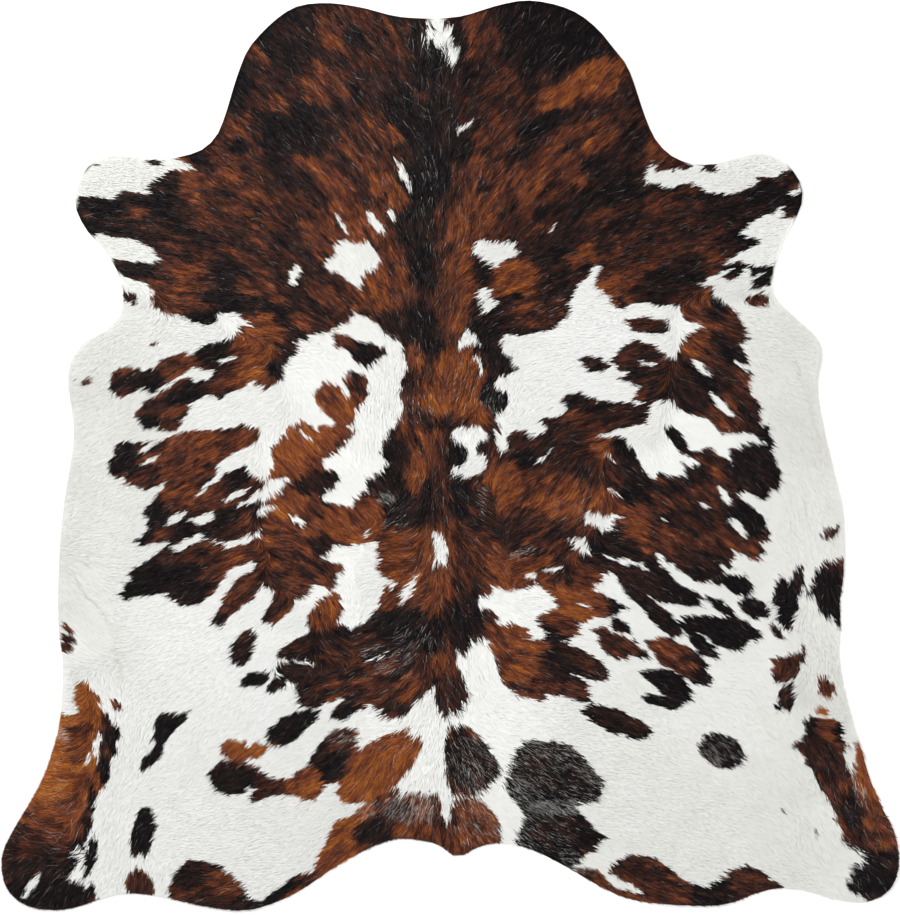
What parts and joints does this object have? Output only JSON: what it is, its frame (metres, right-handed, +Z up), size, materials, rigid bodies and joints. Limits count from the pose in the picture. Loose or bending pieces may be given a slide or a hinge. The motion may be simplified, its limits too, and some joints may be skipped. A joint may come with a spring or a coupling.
{
  "type": "cowhide rug",
  "caption": "Flat one-piece cowhide rug with the hair on, in the outline of a whole hide with neck, fore legs, flanks, hind shanks and rump.",
  "frame": {"origin": "on the floor, under the middle of the hide's outline", "axes": "+Z up, hair side up; +Y towards the neck, +X to the right of the hide seen from above"},
  "size_m": [2.115, 2.146, 0.0106],
  "materials": {
    "hide": "hair-on leather: short glossy coat in white, chestnut and black brindle, suede underside"
  },
  "bodies": {
    "root": {"hide": "hide"}
  },
  "joints": []
}
